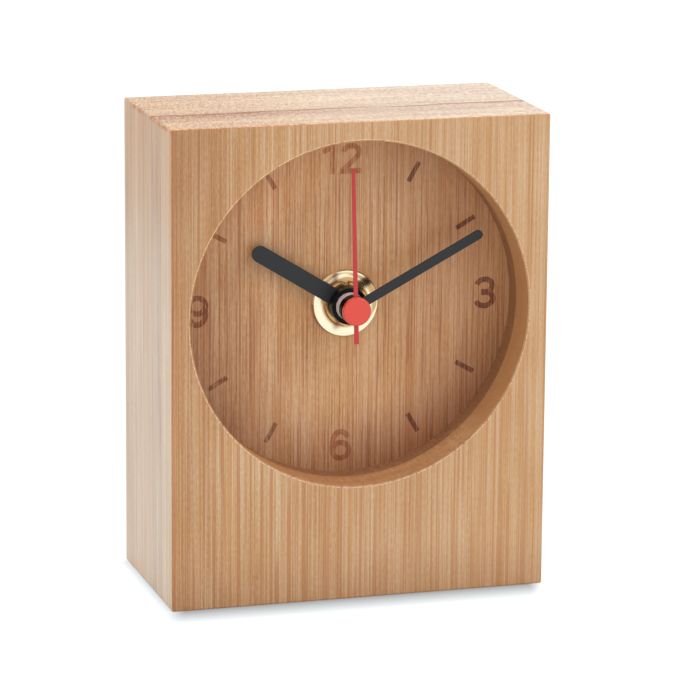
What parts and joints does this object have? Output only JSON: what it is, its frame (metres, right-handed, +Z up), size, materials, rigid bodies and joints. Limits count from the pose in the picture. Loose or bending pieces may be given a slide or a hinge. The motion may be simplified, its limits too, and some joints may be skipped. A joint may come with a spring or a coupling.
{
  "type": "table clock",
  "caption": "Free-standing table clock: a laminated bamboo block with a round open dial recess, charcoal and red hands on a quartz movement held by a brass nut, and a battery pocket behind.",
  "frame": {"origin": "middle of the case's footprint, on the surface that it stands on", "axes": "+Z up along the case's height, -Y out of the dial towards the viewer, +X to the viewer's right"},
  "size_m": [0.08, 0.04, 0.1],
  "materials": {
    "bamboo": "satin, laminated bamboo",
    "gasket_rubber": "matte",
    "polished_brass": "polished",
    "shell_plastic": "fine moulded texture",
    "gear_plastic": "natural acetal",
    "pipe_plastic": "pale grey acetal",
    "board_laminate": "phenolic board",
    "chip_resin": "black resin",
    "crystal_can": "plain can",
    "motor_steel": "rolled sheet",
    "copper_wire": "enamelled copper winding",
    "contact_steel": "nickel-plated spring sheet",
    "red_paint": "red paint on aluminium sheet",
    "red_cap": "satin red",
    "charcoal_paint": "charcoal paint on aluminium sheet",
    "bush_black": "black",
    "magnet": "sintered",
    "knob_plastic": "fine moulded texture",
    "cell_can": null,
    "cell_jacket": "plain sleeve"
  },
  "bodies": {
    "case": {"front_ply": "bamboo", "dial_ply": "bamboo", "middle_ply": "bamboo", "rear_ply": "bamboo", "back_ply": "bamboo", "dial_gasket": "gasket_rubber", "dial_nut": "polished_brass", "threaded_bush": "polished_brass", "movement_front_case": "shell_plastic", "movement_rear_case": "shell_plastic", "gear_bridge": "gear_plastic", "circuit_board": "board_laminate", "control_chip": "chip_resin", "quartz_crystal": "crystal_can", "stator": "motor_steel", "coil_core": "motor_steel", "coil_bobbin": "gear_plastic", "coil_winding": "copper_wire", "positive_contact": "contact_steel", "negative_contact": "contact_steel"},
    "second_hand": {"second_hand_blade": "red_paint", "second_hand_cap": "red_cap", "second_wheel": "gear_plastic"},
    "minute_hand": {"minute_hand_blade": "charcoal_paint", "minute_hand_bush": "bush_black", "minute_pipe": "polished_brass"},
    "hour_hand": {"hour_hand_blade": "charcoal_paint", "hour_hand_bush": "bush_black", "hour_wheel": "pipe_plastic"},
    "centre_wheel": {"centre_wheel": "gear_plastic"},
    "third_wheel": {"third_wheel": "gear_plastic"},
    "fifth_wheel": {"fifth_wheel": "gear_plastic"},
    "rotor": {"rotor_magnet": "magnet", "rotor_pinion": "gear_plastic"},
    "minute_wheel": {"minute_wheel": "gear_plastic"},
    "setting_knob": {"setting_stem": "gear_plastic", "setting_knob": "knob_plastic"},
    "battery": {"battery_can": "cell_can", "battery_jacket": "cell_jacket"}
  },
  "joints": [
    {"name": "second_hand_turn", "type": "hinge", "parent": "case", "child": "second_hand", "pos_m": [0, 0, 0.06], "axis": [0, 1, 0], "continuous": true},
    {"name": "minute_hand_turn", "type": "hinge", "parent": "case", "child": "minute_hand", "pos_m": [0, 0, 0.06], "axis": [0, 1, 0], "continuous": true},
    {"name": "hour_hand_turn", "type": "hinge", "parent": "case", "child": "hour_hand", "pos_m": [0, 0, 0.06], "axis": [0, 1, 0], "continuous": true},
    {"name": "centre_wheel_turn", "type": "hinge", "parent": "case", "child": "centre_wheel", "pos_m": [0, 0, 0.06], "axis": [0, 1, 0], "continuous": true},
    {"name": "third_wheel_turn", "type": "hinge", "parent": "case", "child": "third_wheel", "pos_m": [-0.00799, 0, 0.06291], "axis": [0, 1, 0], "continuous": true},
    {"name": "fifth_wheel_turn", "type": "hinge", "parent": "case", "child": "fifth_wheel", "pos_m": [0.00887, 0, 0.06], "axis": [0, 1, 0], "continuous": true},
    {"name": "rotor_turn", "type": "hinge", "parent": "case", "child": "rotor", "pos_m": [0.01545, 0, 0.06239], "axis": [0, 1, 0], "continuous": true},
    {"name": "minute_wheel_turn", "type": "hinge", "parent": "case", "child": "minute_wheel", "pos_m": [0, 0, 0.06768], "axis": [0, 1, 0], "continuous": true},
    {"name": "setting_knob_turn", "type": "hinge", "parent": "case", "child": "setting_knob", "pos_m": [0, 0, 0.07536], "axis": [0, 1, 0], "continuous": true},
    {"name": "battery_pull", "type": "slide", "parent": "case", "child": "battery", "axis": [0, 1, 0], "range_m": [0, 0.03]}
  ],
  "couplings": [
    {"joint": "third_wheel_turn", "follows": "second_hand_turn", "ratio": -0.13333},
    {"joint": "centre_wheel_turn", "follows": "second_hand_turn", "ratio": 0.016667},
    {"joint": "fifth_wheel_turn", "follows": "second_hand_turn", "ratio": -5},
    {"joint": "rotor_turn", "follows": "second_hand_turn", "ratio": 30},
    {"joint": "minute_wheel_turn", "follows": "minute_hand_turn", "ratio": -0.33333},
    {"joint": "hour_hand_turn", "follows": "minute_hand_turn", "ratio": 0.083333},
    {"joint": "setting_knob_turn", "follows": "minute_hand_turn", "ratio": 1}
  ]
}
